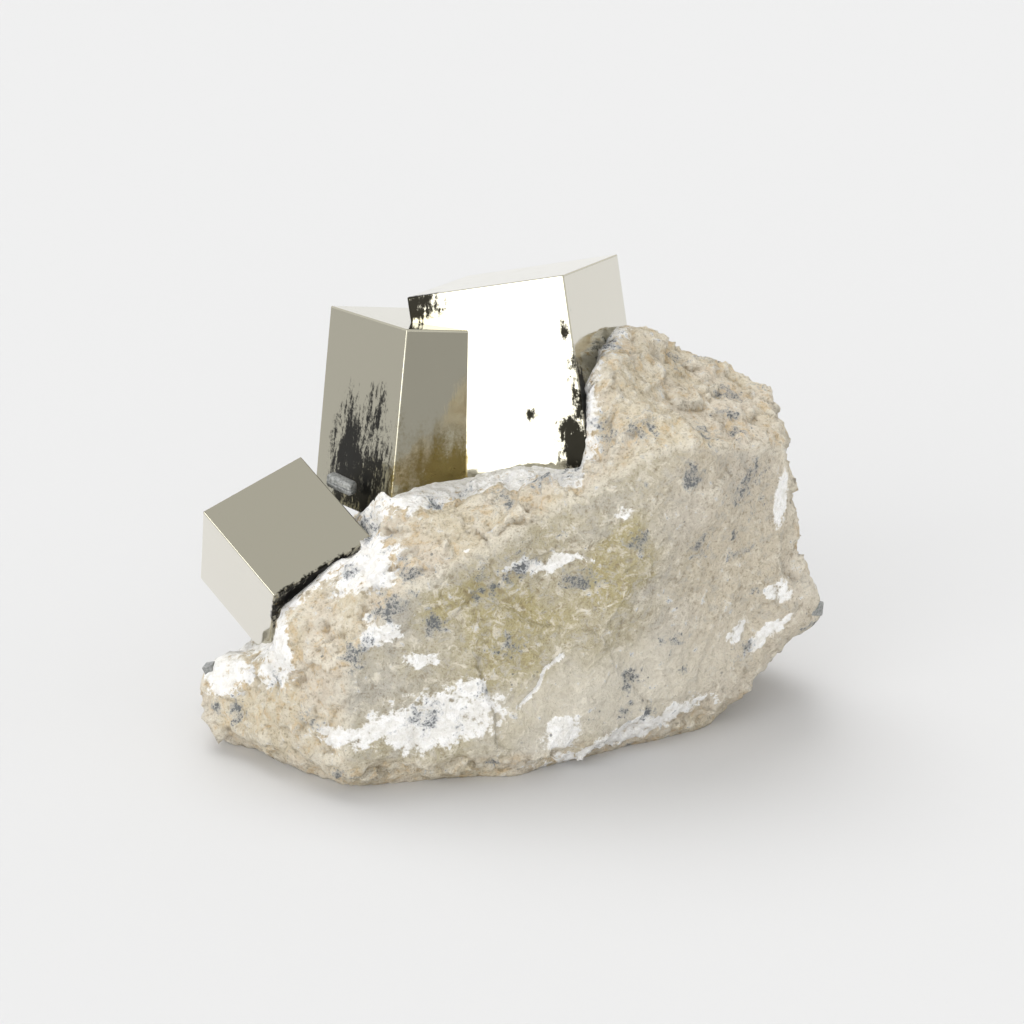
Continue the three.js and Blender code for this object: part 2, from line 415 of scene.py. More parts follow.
SHELF_CHALK = 10.5
SHELF_ENDS = (-32, 11)
SHELF_BACK = 16
RIDGE_BEGINS = (29, 34)
RIDGE_ENDS = (48, 54)
RIDGE_FADES_BACK = (6, 14)
SPECK_SPACING = 6.5
SPECK_RADIUS = 2.1


def front_marks(points, marks):
    """1 inside soft ellipses drawn on the stone as seen square on from the front, 0 outside."""
    bend = np.stack([fractal(points, 5, 3, 51.0 + 7 * a) for a in range(3)], 1)
    points = points + MARK_BEND * bend
    value = np.zeros(len(points))
    for across, up, half_length, half_height, slant in marks.values():
        turn = math.radians(slant)
        right, high = points[:, 0] - across, points[:, 2] - up
        along = right * math.cos(turn) + high * math.sin(turn)
        over = high * math.cos(turn) - right * math.sin(turn)
        away = np.hypot(along / half_length, over / half_height)
        value = np.maximum(value, 1 - smooth_step(0.6, 1.8, away))
    return value * (1 - smooth_step(*MARKS_FADE_BACK, points[:, 1]))


def line_distance(points, line):
    """Distance in mm, seen square on from the front, from a line through (across, up) points."""
    flat = points[:, [0, 2]]
    nearest = np.full(len(points), 1e9)
    for start, end in zip(line[:-1], line[1:]):
        start, end = np.array(start, float), np.array(end, float)
        along = end - start
        share = np.clip((flat - start) @ along / (along @ along), 0, 1)
        away = np.linalg.norm(flat - start - share[:, None] * along, axis=1)
        nearest = np.minimum(nearest, away)
    return np.where(points[:, 1] < CRACKS_END_BACK, nearest, 1e9)


def chalk_cover(points):
    """Chalk on the marks, in strewn crumbs, round the crystals' feet and on the shelf."""
    cover = front_marks(points, CHALK_MARKS)
    cover = np.maximum(cover, 0.8 * blots(points, 9, 1.0, 0.16, 3.0))
    crack = line_distance(points, CRACK_LINES[0])
    cover = np.maximum(cover, 0.9 * (1 - smooth_step(0.2, CRACK_CHALK, crack)))
    right_end = smooth_step(37, 43, points[:, 0])
    cover = np.maximum(cover, 0.9 * blots(points, 7, 1.5, 0.45, 21.0) * right_end)
    for name in LARGE_CRYSTALS:
        away = box_distance(points, name)
        cover = np.maximum(cover, 0.9 * (1 - smooth_step(0.5, CHALK_RIM, away)))
    shelf = smooth_step(LEDGE_HEIGHT - 3, LEDGE_HEIGHT, points[:, 2])
    shelf = shelf * (points[:, 0] > SHELF_ENDS[0]) * (points[:, 0] < SHELF_ENDS[1])
    tall = np.minimum(box_distance(points, "middle_block"), box_distance(points, "big_crystal"))
    near_tall = (points[:, 1] < SHELF_BACK) * (1 - smooth_step(4, SHELF_CHALK, tall))
    return np.maximum(cover, shelf * near_tall)


def speck_cover(points):
    """Clusters of fine dark grains, closest together on the slope and under the ridge."""
    height = points[:, 2]
    near_ridge = smooth_step(*RIDGE_BEGINS, height) * (1 - smooth_step(*RIDGE_ENDS, height))
    share = 0.38 + 0.4 * near_ridge * (1 - smooth_step(*RIDGE_FADES_BACK, points[:, 1]))
    ragged = points + 0.9 * fractal(points, 2.5, 2, 71.0)[:, None]
    return blots(ragged, SPECK_SPACING, SPECK_RADIUS, share, 8.0)


# ---------------------------------------------------------------- the stone's fine shape

BALL_FREQUENCY = 96
RELAX_ROUNDS = 8
DEEPEST_PIT = -0.75
FOOT_FADE = 2.0
SOCKET_FADE = 5.0
WALK_START = 8.0
WALK_STRIDE = 1.5
HALVINGS = 12
# Layers of chips: their size in mm, a seed and their height in mm.
CHIPS = {
    "coarse": (6.5, 3.7, 1.5),
    "middle": (2.4, 11.2, 0.62),
    "fine": (1.25, 27.4, 0.28),
    "planes": (17, 6.1, 0.8),
}


def solve_surface(ways):
    """Walks out from the centre along each way to where the field turns positive."""
    near = np.full(len(ways), WALK_START)
    walking = np.ones(len(ways), bool)
    while walking.any():
        ahead = STONE_CENTRE + ways[walking] * (near[walking] + WALK_STRIDE)[:, None]
        inside = stone_field(ahead) < 0
        index = np.flatnonzero(walking)
        near[index[inside]] += WALK_STRIDE
        walking[index[~inside]] = False
    far = near + WALK_STRIDE
    for _ in range(HALVINGS):
        middle = (near + far) / 2
        inside = stone_field(STONE_CENTRE + ways * middle[:, None]) < 0
        near = np.where(inside, middle, near)
        far = np.where(inside, far, middle)
    return STONE_CENTRE + ways * ((near + far) / 2)[:, None]


def pull_to_surface(points):
    """One Newton step to the zero of the field."""
    step = 0.05
    here = stone_field(points)
    ahead = [stone_field(points + offset) for offset in np.eye(3) * step]
    slope = np.stack([value - here for value in ahead], 1) / step
    length = np.maximum((slope ** 2).sum(1), 0.25)
    return points - np.clip(here / length, -1, 1)[:, None] * slope


def chip_layer(points, name):
    size, seed, height = CHIPS[name]
    return height * chips(points, size, seed)


def stone_relief(points, roughness):
    """How far the fine surface stands out from the broad one, in mm."""
    hackly = chip_layer(points + 0.8 * fractal(points, 3, 2)[:, None], "coarse")
    hackly += chip_layer(points, "middle") + chip_layer(points, "fine")
    grain = fractal(points, 2.6, 4, 5.0) * 0.32
    rough = hackly + grain
    flow = fractal(points * (1, 1, 0.6), 9, 4, 20.0)
    terrace = np.floor(flow * 3.5) / 3.5 + smooth_step(0, 1, (flow * 3.5) % 1) / 3.5
    planes = chip_layer(points + 1.5 * fractal(points, 8, 2, 6.0)[:, None], "planes")
    conchoidal = 0.7 * np.abs(fractal(points, 21, 2, 33.0))
    fresh = 0.4 * terrace + planes + conchoidal + fractal(points, 1.6, 3, 8.0) * 0.16
    share = smooth_step(0.3, 0.95, roughness)
    cracks = [line_distance(points, line) for line in CRACK_LINES]
    crack = sum(1 - smooth_step(0, CRACK_WIDTH, away) for away in cracks)
    return fresh + (rough - fresh) * share - CRACK_DEPTH * np.minimum(crack, 1)


def stone_surface():
    ways, triangles = geodesic_ball(BALL_FREQUENCY)
    points = solve_surface(ways)
    for _ in range(RELAX_ROUNDS):
        mean = neighbour_mean(points, triangles)
        points = pull_to_surface(points + 0.6 * (mean - points))
    normals = vertex_normals(points, triangles)
    roughness, worn = face_roughness(points)
    lift = np.maximum(stone_relief(points, roughness), DEEPEST_PIT)
    on_base = points[:, 2] < 0.3
    lift = lift * smooth_step(0.3, FOOT_FADE, points[:, 2])
    socket = np.min([box_distance(points, name) for name in CRYSTALS], axis=0)
    lift = lift * (0.3 + 0.7 * smooth_step(0.5, SOCKET_FADE, socket))
    fine = points + normals * lift[:, None]
    fine[:, 2] = np.where(on_base, 0, np.maximum(fine[:, 2], 0))
    return fine, triangles, roughness, worn


# ---------------------------------------------------------------- node helpers

class Nodes:
    """Builds a material's nodes with short calls."""

    def __init__(self, name):
        self.material = bpy.data.materials.new(name)
        self.material.use_nodes = True
        self.tree = self.material.node_tree
        self.tree.nodes.clear()

    def add(self, kind, **values):
        node = self.tree.nodes.new(kind)
        for key, value in values.items():
            setattr(node, key, value)
        return node

    def link(self, output, socket):
        self.tree.links.new(output, socket)

    def attribute(self, name):
        return self.add("ShaderNodeAttribute", attribute_name=name).outputs["Fac"]

    def feed(self, sockets, values):
        """Gives each socket its value, which is a number, a colour or another node's output."""
        for socket, value in zip(sockets, values):
            if isinstance(value, bpy.types.NodeSocket):
                self.link(value, socket)
            else:
                socket.default_value = value

    def math(self, operation, a, b):
        node = self.add("ShaderNodeMath", operation=operation)
        self.feed(node.inputs, (a, b))
        return node.outputs[0]

    def roughened(self, name, noise, amount):
        """An attribute whose soft edge is frayed by that amount of noise."""
        fray = self.math("MULTIPLY", self.math("SUBTRACT", noise, 0.5), amount)
        return self.math("ADD", self.attribute(name), fray)

    def ramp(self, value, low, high, low_out=0.0, high_out=1.0):
        node = self.add("ShaderNodeMapRange", interpolation_type="SMOOTHSTEP")
        self.link(value, node.inputs["Value"])
        ends = (("From Min", low), ("From Max", high), ("To Min", low_out), ("To Max", high_out))
        for key, number in ends:
            node.inputs[key].default_value = number
        return node.outputs[0]

    def mix(self, factor, a, b):
        node = self.add("ShaderNodeMix", data_type="RGBA")
        self.feed((node.inputs[0], node.inputs[6], node.inputs[7]), (factor, a, b))
        return node.outputs[2]

    def noise(self, vector, size, detail=4.0, roughness=0.55, distortion=0.0):
        """Noise from 0 to 1 with features about size mm across; vector is in mm."""
        node = self.add("ShaderNodeTexNoise")
        self.link(vector, node.inputs["Vector"])
        node.inputs["Scale"].default_value = 1 / size
        node.inputs["Detail"].default_value = detail
        node.inputs["Roughness"].default_value = roughness
        node.inputs["Distortion"].default_value = distortion
        return node.outputs["Fac"]

    def noise_vector(self, vector, size):
        """Three noises from 0 to 1, to bend a place with."""
        node = self.add("ShaderNodeTexNoise")
        self.link(vector, node.inputs["Vector"])
        node.inputs["Scale"].default_value = 1 / size
        return node.outputs["Color"]

    def cells(self, vector, size, feature="F1"):
        """Distance, in cells, from the middles or edges of cells about size mm across."""
        node = self.add("ShaderNodeTexVoronoi", feature=feature)
        self.link(vector, node.inputs["Vector"])
        node.inputs["Scale"].default_value = 1 / size
        return node.outputs["Distance"]

    def bump(self, height, strength, distance, normal=None):
        node = self.add("ShaderNodeBump")
        node.inputs["Strength"].default_value = strength
        node.inputs["Distance"].default_value = distance * MM
        self.link(height, node.inputs["Height"])
        if normal is not None:
            self.link(normal, node.inputs["Normal"])
        return node.outputs[0]

    def position(self):
        """The surface point in mm, fixed to the object."""
        coordinates = self.add("ShaderNodeTexCoord")
        scaled = self.add("ShaderNodeVectorMath", operation="SCALE")
        self.link(coordinates.outputs["Object"], scaled.inputs[0])
        scaled.inputs["Scale"].default_value = 1 / MM
        return scaled.outputs[0]

    def finish(self, shader):
        output = self.add("ShaderNodeOutputMaterial")
        self.link(shader.outputs[0], output.inputs["Surface"])
        return self.material


def srgb(red, green, blue):
    """A colour given as 0 to 255 values, made linear."""
    parts = [v / 255 for v in (red, green, blue)]
    return tuple(v / 12.92 if v <= 0.04045 else ((v + 0.055) / 1.055) ** 2.4 for v in parts) + (1,)


# ---------------------------------------------------------------- materials

CREAM = srgb(207, 196, 172)
PALE_CREAM = srgb(224, 217, 201)
TAN = srgb(184, 175, 149)
OLIVE = srgb(172, 160, 114)
GREY_TAN = srgb(187, 182, 171)
PINK_BEIGE = srgb(210, 199, 181)
WARM_TAN = srgb(204, 181, 143)
CHALK = srgb(251, 250, 248)
CHALK_SHADE = srgb(238, 236, 231)
SPECK_BLUE = srgb(134, 139, 144)
SPECK_DARK = srgb(92, 96, 99)
# Dark brown for the pores and fine grit, also used for the painted shade in the hollows.
PORE_TONE_AND_HOLLOW_SHADE = srgb(120, 104, 78)


def marl_material():
    """Weathered and freshly broken marl with its stains, veins, chalk and dark grains, painted
    shade in its hollows and a painted highlight on its bulging edges.
    """
    n = Nodes("marl")
    place = n.position()
    broad = n.noise(place, 14, 3)
    blotch = n.noise(place, 5, 4, 0.6, 0.4)
    fine = n.noise(place, 1.2, 5, 0.65)
    grain = n.noise(place, 0.35, 3, 0.7)
    rough = n.attribute("rough")
    fresh = n.mix(n.ramp(broad, 0.35, 0.65), TAN, GREY_TAN)
    fresh = n.mix(n.math("MULTIPLY", n.attribute("warm"), 0.7), fresh, PINK_BEIGE)
    weathered = n.mix(n.ramp(broad, 0.4, 0.6), CREAM, PINK_BEIGE)
    weathered = n.mix(n.ramp(blotch, 0.5, 0.75), weathered, PALE_CREAM)
    color = n.mix(n.ramp(rough, 0.4, 0.85), fresh, weathered)
    stain = n.roughened("stain", blotch, 1.2)
    color = n.mix(n.ramp(stain, 0.2, 1.2, 0, 0.88), color, OLIVE)
    # Paler along edges: a painted highlight where the surface bulges, and wear on the arrises.
    color = n.mix(n.ramp(n.attribute("edge"), 0.1, 0.8, 0, 0.65), color, PALE_CREAM)
    # Painted shade: hollows in the surface are darkened towards dark brown.
    color = n.mix(n.ramp(n.attribute("hollow"), 0.1, 1.0, 0, 0.5), color, PORE_TONE_AND_HOLLOW_SHADE)
    mottle = n.noise(place, 2.2, 4, 0.7, 0.6)
    color = n.mix(n.ramp(mottle, 0.52, 0.64, 0, 0.75), color, PALE_CREAM)
    pit = n.mix(n.ramp(rough, 0.4, 0.85), GREY_TAN, WARM_TAN)
    color = n.mix(n.ramp(mottle, 0.36, 0.48, 0.7, 0), color, pit)
    color = n.mix(n.ramp(fine, 0.5, 0.7, 0, 0.5), color, PALE_CREAM)
    color = n.mix(n.ramp(fine, 0.34, 0.46, 0.42, 0), color, PORE_TONE_AND_HOLLOW_SHADE)
    color = n.mix(n.ramp(grain, 0.3, 0.48, 0.5, 0), color, PORE_TONE_AND_HOLLOW_SHADE)
    ragged = n.math("ADD", n.math("SUBTRACT", fine, 0.5), n.math("SUBTRACT", mottle, 0.5))
    bent = n.add("ShaderNodeVectorMath", operation="MULTIPLY_ADD")
    n.link(n.noise_vector(place, 4), bent.inputs[0])
    bent.inputs[1].default_value = (5, 5, 5)
    n.link(place, bent.inputs[2])
    vein = n.ramp(n.cells(bent.outputs[0], 11, "DISTANCE_TO_EDGE"), 0.005, 0.035, 1, 0)
    vein = n.math("MULTIPLY", vein, n.ramp(mottle, 0.46, 0.6))
    # Painted light on the low front.
    color = n.mix(n.math("MULTIPLY", n.attribute("painted_light"), 0.55), color, PALE_CREAM)
    color = n.mix(n.math("MULTIPLY", vein, 0.6), color, PALE_CREAM)
    white = n.math("ADD", n.attribute("white"), n.math("MULTIPLY", ragged, 2.2))
    chalk = n.math("MULTIPLY", n.ramp(white, 0.36, 0.72), n.ramp(blotch, 0.3, 0.5, 0.78, 0.97))
    color = n.mix(chalk, color, n.mix(n.ramp(fine, 0.42, 0.58), CHALK_SHADE, CHALK))
    speck = n.math("ADD", n.attribute("speck"), n.math("MULTIPLY", ragged, 2.6))
    halo = n.ramp(speck, 0.35, 1.0)
    color = n.mix(n.math("MULTIPLY", halo, 0.55), color, SPECK_BLUE)
    crumbs = n.math("ADD", speck, n.math("MULTIPLY", n.math("SUBTRACT", grain, 0.5), 3.0))
    color = n.mix(n.math("MULTIPLY", n.ramp(crumbs, 0.75, 1.25), 0.85), color, SPECK_DARK)
    dots = n.ramp(n.cells(place, 3.1), 0.07, 0.1, 1, 0)
    stray = n.math("MULTIPLY", dots, n.ramp(broad, 0.5, 0.6))
    color = n.mix(n.math("MULTIPLY", stray, 0.7), color, SPECK_DARK)
    shader = n.add("ShaderNodeBsdfPrincipled")
    n.link(color, shader.inputs["Base Color"])
    n.link(n.ramp(fine, 0.3, 0.7, 0.82, 0.97), shader.inputs["Roughness"])
    shader.inputs["Specular IOR Level"].default_value = 0.25
    normal = n.bump(grain, 0.7, 0.3)
    normal = n.bump(fine, 0.9, 0.75, normal)
    normal = n.bump(mottle, 0.5, 0.8, normal)
    n.link(normal, shader.inputs["Normal"])
    return n.finish(shader)


PYRITE = (0.53, 0.505, 0.405, 1)
PYRITE_DARK = (0.012, 0.011, 0.008, 1)
PYRITE_BROWN = (0.22, 0.165, 0.045, 1)
DULL_DARK = srgb(104, 106, 104)
DULL_PALE = srgb(170, 171, 168)


def pyrite_material():
    """Bright pyrite, streaked with black tarnish and brown film where the marks say so, with
    painted shade darkening the big crystal's right face in the gap by the stone.
    """
    n = Nodes("pyrite")
    place = n.position()
    stretch = n.add("ShaderNodeMapping")
    n.link(place, stretch.inputs["Vector"])
    stretch.inputs["Scale"].default_value = (1, 1, 0.08)
    streaks = n.noise(stretch.outputs[0], 0.9, 4, 0.6)
    fine = n.noise(place, 0.5, 5, 0.7)
    broad = n.noise(place, 7, 3)
    tarnish_and_shade = n.roughened("tarnish_and_shade", streaks, 1.9)
    smears = n.noise(place, 1.6, 4, 0.7)
    flecks = n.math("MULTIPLY", n.math("SUBTRACT", n.math("ADD", fine, smears), 1.0), 1.5)
    tarnish_and_shade = n.ramp(n.math("ADD", tarnish_and_shade, flecks), 0.2, 0.75)
    tarnish_and_shade = n.math("MULTIPLY", tarnish_and_shade, n.ramp(n.attribute("tarnish_and_shade"), 0.02, 0.25))
    # Black tarnish, and painted shade in the gap on the big crystal's right face.
    color = n.mix(n.math("MULTIPLY", tarnish_and_shade, 0.99), PYRITE, PYRITE_DARK)
    brown = n.ramp(n.roughened("brown", fine, 0.8), 0.1, 0.7)
    color = n.mix(n.math("MULTIPLY", brown, 0.93), color, PYRITE_BROWN)
    dots = n.ramp(n.cells(place, 4.3), 0.03, 0.05, 1, 0)
    specks = n.math("MULTIPLY", dots, n.ramp(broad, 0.45, 0.6))
    color = n.mix(n.math("MULTIPLY", specks, 0.6), color, PYRITE_DARK)
    shader = n.add("ShaderNodeBsdfPrincipled")
    shader.inputs["Metallic"].default_value = 1.0
    n.link(color, shader.inputs["Base Color"])
    sheen = n.ramp(n.noise(place, 3, 4), 0.3, 0.8, 0.05, 0.13)
    rough = n.math("ADD", sheen, n.math("MULTIPLY", tarnish_and_shade, 0.25))
    rough = n.math("ADD", rough, n.math("MULTIPLY", brown, 0.2))
    n.link(rough, shader.inputs["Roughness"])
    normal = n.bump(streaks, 0.05, 0.12)
    normal = n.bump(n.noise(place, 2.2, 5, 0.6), 0.06, 0.15, normal)
    n.link(normal, shader.inputs["Normal"])
    return n.finish(shader)


def dull_pyrite_material():
    """The grey, half matt pyrite of the tablet and the two edge crystals."""
    n = Nodes("dull_pyrite")
    place = n.position()
    fine = n.noise(place, 0.4, 5, 0.7)
    color = n.mix(n.ramp(fine, 0.3, 0.7), DULL_DARK, DULL_PALE)
    shader = n.add("ShaderNodeBsdfPrincipled")
    shader.inputs["Metallic"].default_value = 0.35
    n.link(color, shader.inputs["Base Color"])
    n.link(n.ramp(fine, 0.3, 0.7, 0.35, 0.6), shader.inputs["Roughness"])
    n.link(n.bump(fine, 0.4, 0.2), shader.inputs["Normal"])
    return n.finish(shader)


# ---------------------------------------------------------------- the stone

BULGE_ROUNDS = 6
# How far an edge must bulge to take the painted highlight, from none to full.
EDGE_HIGHLIGHT_BULGE = (0.12, 0.5)
# How deep a hollow must be to take painted shade, from none to full.
HOLLOW_SHADE_DEPTH = (0.12, 0.55)
WARM_SPAN = (14, 34)


def build_stone(material):
    """The block of marl: its mesh, and what its material reads at each vertex."""
    points, triangles, roughness, worn = stone_surface()
    piece = make_mesh("marl_block", points, triangles, material)
    mean = points.copy()
    for _ in range(BULGE_ROUNDS):
        mean = neighbour_mean(mean, triangles)
    bulge = ((points - mean) * vertex_normals(mean, triangles)).sum(1)
    # Painted highlight on bulging edges, with the paleness of worn arrises.
    paint(piece, "edge", np.maximum(smooth_step(*EDGE_HIGHLIGHT_BULGE, bulge), 0.75 * worn))
    # Painted shade: the deeper a hollow, the darker it is painted.
    paint(piece, "hollow", smooth_step(*HOLLOW_SHADE_DEPTH, -bulge))
    paint(piece, "rough", roughness)
    paint(piece, "white", chalk_cover(points))
    paint(piece, "stain", front_marks(points, STAIN_MARKS))
    # Painted light on the low front.
    paint(piece, "painted_light", front_marks(points, PAINTED_LIGHT_MARKS))
    paint(piece, "speck", speck_cover(points))
    paint(piece, "warm", smooth_step(*WARM_SPAN, points[:, 0]))
    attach(piece, "root")
    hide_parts("matrix")


# ---------------------------------------------------------------- crystals

FACE_CUTS = 44
SMALL_FACE_CUTS = 8
CUBE_WOBBLE = 0.04
SMALL_WOBBLE = 0.4
EDGE_RADIUS = 0.22
CROSSING_ANGLE = 35


def face_stops(length, cuts):
    """Grid lines across a face: even inside, with extra lines over the rounded edges."""
    edge = [0, 0.06, 0.13, EDGE_RADIUS, 0.45]
    inside = np.linspace(0.8, length - 0.8, cuts)
    return np.concatenate([edge, inside, length - np.array(edge[::-1])])


def crystal_shape(name, cuts, wobble):
    """A block with softly rounded edges and faint growth relief: local points, and faces."""
    size = np.array(CRYSTALS[name]["size"], float)
    points, faces = [], []
    for axis in range(3):
        u, v = (axis + 1) % 3, (axis + 2) % 3
        us, vs = face_stops(size[u], cuts), face_stops(size[v], cuts)
        for side in (0, 1):
            start = len(points)
            for a in us:
                for b in vs:
                    point = np.zeros(3)
                    point[axis], point[u], point[v] = side * size[axis], a, b
                    points.append(point)
            for i in range(len(us) - 1):
                for j in range(len(vs) - 1):
                    first = start + i * len(vs) + j
                    quad = [first, first + len(vs), first + len(vs) + 1, first + 1]
                    faces.append(quad if side else quad[::-1])
    points = np.array(points)
    _, first, home = np.unique(np.round(points, 5), axis=0, return_index=True, return_inverse=True)
    points = points[first]
    faces = home.ravel()[np.array(faces)]
    core = np.clip(points, EDGE_RADIUS, size - EDGE_RADIUS)
    out = points - core
    out /= np.maximum(np.linalg.norm(out, axis=1, keepdims=True), 1e-9)
    rounded = core + out * EDGE_RADIUS
    seed = sum(map(ord, name)) % 89
    relief = wobble * swell(points / 11 + seed)
    local = rounded + out * relief[:, None] - (0, 0, size[2])
    return local, faces


def build_crystal(name, piece_name, material, cuts, wobble):
    local, faces = crystal_shape(name, cuts, wobble)
    return make_mesh(piece_name, to_stone(name, local), faces, material)


# Soft ellipsoids in a crystal's own frame (right, back, up from its top corner): middle, reach.
# Black tarnish, and in one place painted shade.
TARNISH_AND_SHADE_MARKS = {
    "solid dark patch low on the left face": ("middle_block", (0, 14.5, -24), (5, 6, 8)),
    "streaks beside it": ("middle_block", (-2, 6, -25), (5, 7, 10)),
    "faint streaks above them": ("middle_block", (-1.5, 7, -16), (2, 4, 6)),
    "top left corner of the front": ("big_crystal", (1.5, 0, -1.6), (4, 2, 2.4)),
    "pit in the front": ("big_crystal", (18, 0, -21), (0.9, 1, 0.9)),
    "grains by the right edge": ("big_crystal", (25.6, 0, -8.5), (0.7, 1, 1.4)),
    "rough lower right of the front": ("big_crystal", (25, 0, -26), (3.2, 2, 4.5)),
    # Painted shade: darkens the big crystal's right face in the narrow gap by the stone.
    "painted shade in the gap low on the right face": ("big_crystal", (26.7, 1.2, -21), (2, 2, 8)),
    "foot of the cube": ("left_cube", (9.5, 0, -4), (12, 0.5, 5)),
}
BROWN = {
    "lower third of the front face": ("middle_block", (17, 0, -25), (20, 3, 10.5)),
}


def crystal_marks(points, marks):
    value = np.zeros(len(points))
    for name, middle, reach in marks.values():
        local = from_stone(name, points)
        away = np.linalg.norm((local - middle) / reach, axis=1)
        away = away + 0.3 * fractal(local * (1, 1, 0.25), 2.5, 3, 13.0)
        on_crystal = 1 - smooth_step(0.05, 0.3, box_distance(points, name))
        value = np.maximum(value, (1 - smooth_step(0.2, 1.6, away)) * on_crystal)
    return value


def dress_crystal(piece, slot, *nodes):
    points = np.array([v.co for v in piece.data.vertices]) / MM - SHIFT
    # Tarnish, and painted shade in one gap.
    paint(piece, "tarnish_and_shade", crystal_marks(points, TARNISH_AND_SHADE_MARKS))
    paint(piece, "brown", crystal_marks(points, BROWN))
    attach(piece, "root")
    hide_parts(*nodes)


def build_crystals(bright, dull):
    """The cube, the two tall crystals joined where they cross, and the three small ones."""
    cube = build_crystal("left_cube", "left_cube_crystal", bright, FACE_CUTS, CUBE_WOBBLE)
    dress_crystal(cube, "pyrite", "left_cube")
    middle = build_crystal("middle_block", "tall_crystals", bright, FACE_CUTS, 0)
    big = build_crystal("big_crystal", "big_crystal", bright, FACE_CUTS, 0)
    join = middle.modifiers.new("join", "BOOLEAN")
    join.operation = "UNION"
    join.solver = "EXACT"
    join.object = big
    graph = bpy.context.evaluated_depsgraph_get()
    joined = bpy.data.meshes.new_from_object(middle.evaluated_get(graph))
    joined.set_sharp_from_angle(angle=math.radians(CROSSING_ANGLE))
    middle.modifiers.clear()
    middle.data = joined
    bpy.data.objects.remove(big)
    dress_crystal(middle, "pyrite", "twin_crystals")
    for name in ("small_tablet", "right_edge_cube", "left_edge_cube"):
        small = build_crystal(name, name + "_crystal", dull, SMALL_FACE_CUTS, SMALL_WOBBLE)
        dress_crystal(small, "dull_pyrite", name)


# ---------------------------------------------------------------- studio

FLOOR_ALBEDO = 0.645
FLOOR_REACH = 12
CAMERA_PLACE = (0, -436.96, 201.04)
CAMERA_TILT = 70
FOCAL_LENGTH = 105.47
SENSOR_WIDTH = 36
CLIP = (0.01, 50)


def build_camera():
    data = bpy.data.cameras.new("camera")
    data.lens = FOCAL_LENGTH
    data.sensor_width = SENSOR_WIDTH
    data.clip_start, data.clip_end = CLIP
    camera = bpy.data.objects.new("camera", data)
    camera.location = to_row([CAMERA_PLACE])[0]
    camera.rotation_euler = (math.radians(CAMERA_TILT), 0, 0)
    scene.collection.objects.link(camera)
    scene.camera = camera


def flat_mesh(name, across, up):
    """One level rectangle that reaches that far each way from its middle, in metres."""
    mesh = bpy.data.meshes.new(name)
    corners = [(-across, -up, 0), (across, -up, 0), (across, up, 0), (-across, up, 0)]
    mesh.from_pydata(corners, [], [(0, 1, 2, 3)])
    return mesh


def build_floor():
    mesh = flat_mesh("floor", FLOOR_REACH, FLOOR_REACH)
    n = Nodes("floor")
    shader = n.add("ShaderNodeBsdfDiffuse")
    shader.inputs["Color"].default_value = (FLOOR_ALBEDO, FLOOR_ALBEDO, FLOOR_ALBEDO, 1)
    mesh.materials.append(n.finish(shader))
    floor = bpy.data.objects.new("floor", mesh)
    scene.collection.objects.link(floor)


WORLD_UP = 0.92
WORLD_HORIZON = 1.3
WORLD_FADE = 0.8


def build_world():
    world = bpy.data.worlds.new("studio")
    scene.world = world
    world.use_nodes = True
    tree = world.node_tree
    tree.nodes.clear()
    place = tree.nodes.new("ShaderNodeTexCoord")
    split = tree.nodes.new("ShaderNodeSeparateXYZ")
    height = tree.nodes.new("ShaderNodeMapRange")
    height.inputs["From Min"].default_value = 0.0
    height.inputs["From Max"].default_value = WORLD_FADE
    height.inputs["To Min"].default_value = WORLD_HORIZON
    height.inputs["To Max"].default_value = WORLD_UP
    glow = tree.nodes.new("ShaderNodeBackground")
    output = tree.nodes.new("ShaderNodeOutputWorld")
    tree.links.new(place.outputs["Generated"], split.inputs[0])
    tree.links.new(split.outputs["Z"], height.inputs["Value"])
    tree.links.new(height.outputs[0], glow.inputs["Strength"])
    tree.links.new(glow.outputs[0], output.inputs["Surface"])


# Suns: the way each shines from, its energy and how wide it is in degrees.
SUNS = {
    "key": ((-0.24, 0.38, 0.89), 1.36, 45),
    "fill": ((-0.38, -0.92, 0.08), 2.55, 80),
}


def build_suns():
    for name, (way, energy, width) in SUNS.items():
        data = bpy.data.lights.new(name, "SUN")
        data.energy = energy
        data.angle = math.radians(width)
        sun = bpy.data.objects.new(name, data)
        sun.rotation_euler = Vector(way).to_track_quat("Z", "Y").to_euler()
        sun.visible_glossy = False
        scene.collection.objects.link(sun)


# Faces of a crystal: the axis that each is square to, 1 if it is at that axis's high end, and the
# sign that makes the cross product of the other two axes look out.
FACES = {"left": (0, 0, -1), "right": (0, 1, 1), "front": (1, 0, -1), "top": (2, 1, 1)}


def face_plane(crystal, face):
    """A crystal face's middle and the way it looks out."""
    width, depth, height = CRYSTALS[crystal]["size"]
    low, high = np.array([0, 0, -height]), np.array([width, depth, 0])
    axis, far, sign = FACES[face]
    middle = (low + high) / 2
    middle[axis] = (low, high)[far][axis]
    edges = crystal_matrix(crystal)[:3, :3].T
    out = sign * np.cross(edges[(axis + 1) % 3], edges[(axis + 2) % 3])
    return to_stone(crystal, middle[None])[0], out / np.linalg.norm(out)


def mirrored_sight(faces):
    """Where the camera's line of sight starts and heads after each face in turn mirrors it."""
    start, _ = face_plane(*faces[0])
    way = start - CAMERA_PLACE
    way /= np.linalg.norm(way)
    for crystal, face in faces:
        start, out = face_plane(crystal, face)
        way = way - 2 * (way @ out) * out
    return start, way


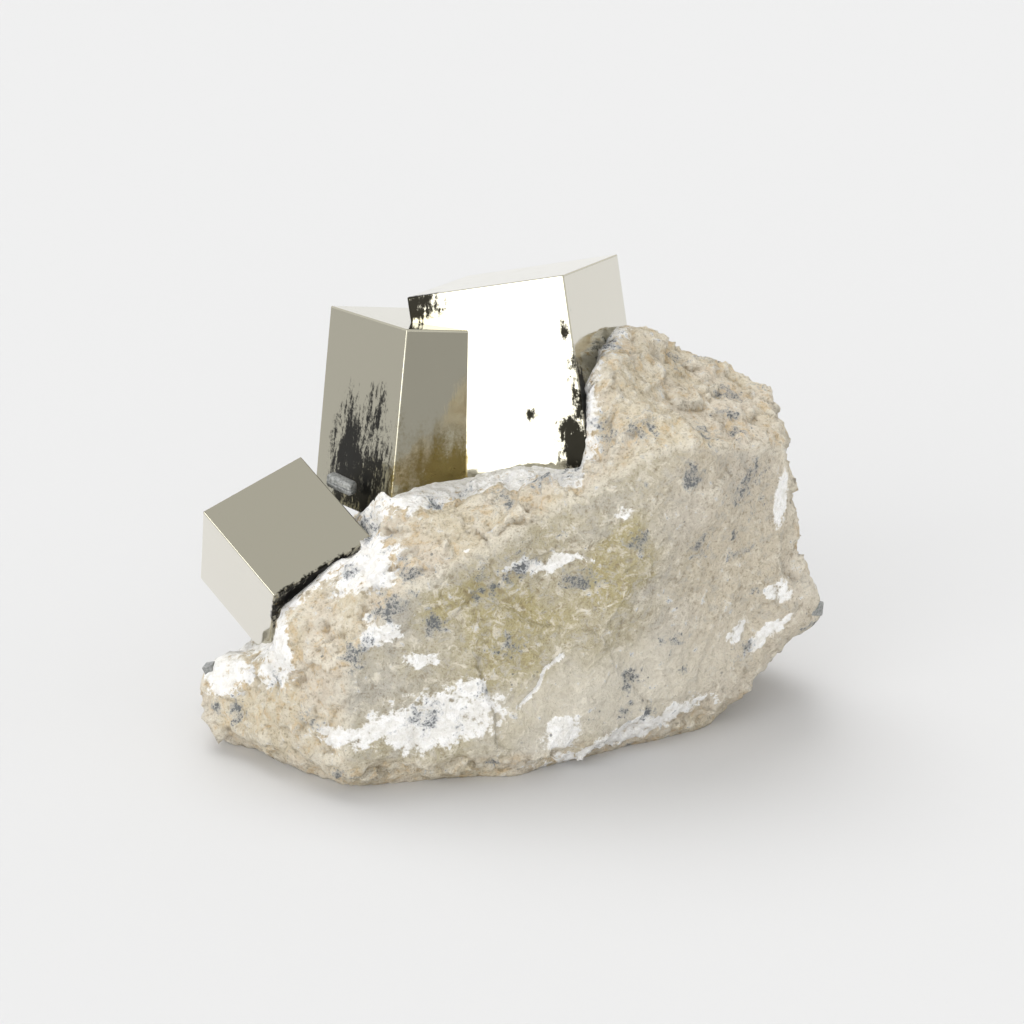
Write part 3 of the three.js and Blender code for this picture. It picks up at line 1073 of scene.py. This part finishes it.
def place_card(card, faces, distance):
    start, way = mirrored_sight(faces)
    way = Vector(way)
    card.location = Vector(to_row([start])[0]) + way * distance * MM
    card.rotation_euler = way.to_track_quat("Z", "Y").to_euler()
    card.visible_camera = False
    card.visible_diffuse = False
    card.visible_transmission = False
    scene.collection.objects.link(card)


def light_card(name, faces, distance, size, radiance, tint=(1, 1, 1)):
    """A softbox seen only in reflections, which brightens what the faces mirror."""
    data = bpy.data.lights.new(name, "AREA")
    data.shape = "RECTANGLE"
    data.size, data.size_y = size[0] * MM, size[1] * MM
    data.energy = radiance * math.pi * data.size * data.size_y
    data.color = tint
    place_card(bpy.data.objects.new(name, data), faces, distance)


def dark_card(name, faces, distance, size, radiance):
    """A grey flag seen only in reflections, which darkens what the faces mirror."""
    mesh = flat_mesh(name, size[0] * MM / 2, size[1] * MM / 2)
    n = Nodes(name)
    glow = n.add("ShaderNodeEmission")
    glow.inputs["Strength"].default_value = radiance
    mesh.materials.append(n.finish(glow))
    card = bpy.data.objects.new(name, mesh)
    card.visible_shadow = False
    place_card(card, faces, distance)


COOL = (1, 1.03, 1.3)


def build_cards():
    big_front, big_right = ("big_crystal", "front"), ("big_crystal", "right")
    middle_front, middle_left = ("middle_block", "front"), ("middle_block", "left")
    middle_top, cube_left = ("middle_block", "top"), ("left_cube", "left")
    light_card("front_left_card", [big_front], 330, (260, 110), 2.6)
    light_card("top_then_front_card", [middle_top, big_front], 330, (200, 90), 2.0)
    light_card("front_then_top_card", [big_front, middle_top], 330, (220, 110), 4.5)
    light_card("right_back_card", [big_right], 260, (160, 80), 0.3, COOL)
    light_card("back_card", [middle_top], 420, (420, 130), 0.14)
    light_card("left_floor_card", [cube_left], 30, (40, 40), 0.4, COOL)
    dark_card("right_front_card", [middle_front], 160, (120, 60), 0.55)
    dark_card("left_back_card", [middle_left], 160, (120, 60), 0.73)


# ---------------------------------------------------------------- the whole scene

scene.view_settings.view_transform = "Standard"
build_camera()
build_floor()
build_world()
build_suns()
build_cards()
bright_pyrite = pyrite_material()
dull_pyrite = dull_pyrite_material()
build_stone(marl_material())
build_crystals(bright_pyrite, dull_pyrite)
